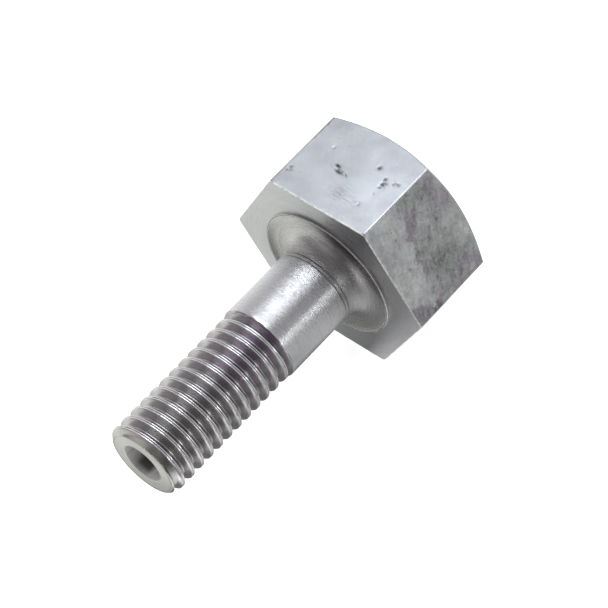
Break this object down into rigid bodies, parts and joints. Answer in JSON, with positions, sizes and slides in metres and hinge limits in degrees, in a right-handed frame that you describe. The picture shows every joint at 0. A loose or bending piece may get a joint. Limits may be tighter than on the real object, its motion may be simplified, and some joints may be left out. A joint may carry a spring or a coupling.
{
  "type": "hex bolt",
  "caption": "Steel hex bolt with an oversize hexagon head, raised bearing seat, plain shank, coarse right-hand thread and a blind bore in its chamfered end.",
  "frame": {"origin": "centre of the bearing seat's rim, on the bolt's axis", "axes": "the bolt's axis lies along Y with the point toward -Y and the head toward +Y; one flat of the hexagon faces down (-Z), and the hexagon's corners are on X"},
  "size_m": [0.0216, 0.0352, 0.0188],
  "materials": {
    "head_steel": "bare drawn and turned steel, mottled and lightly scratched",
    "seat_steel": "bare steel, finely turned",
    "root_steel": "bare steel, finely turned",
    "shank_steel": "bare steel, finely turned",
    "runout_steel": "bare steel, cut thread",
    "thread_steel": "bare steel, cut thread",
    "point_steel": "bare steel, faced and drilled"
  },
  "bodies": {
    "root": {"hex_head": "head_steel", "bearing_seat": "seat_steel", "root_fillet": "root_steel", "plain_shank": "shank_steel", "thread_runout": "runout_steel", "threaded_length": "thread_steel", "point": "point_steel"}
  },
  "joints": []
}
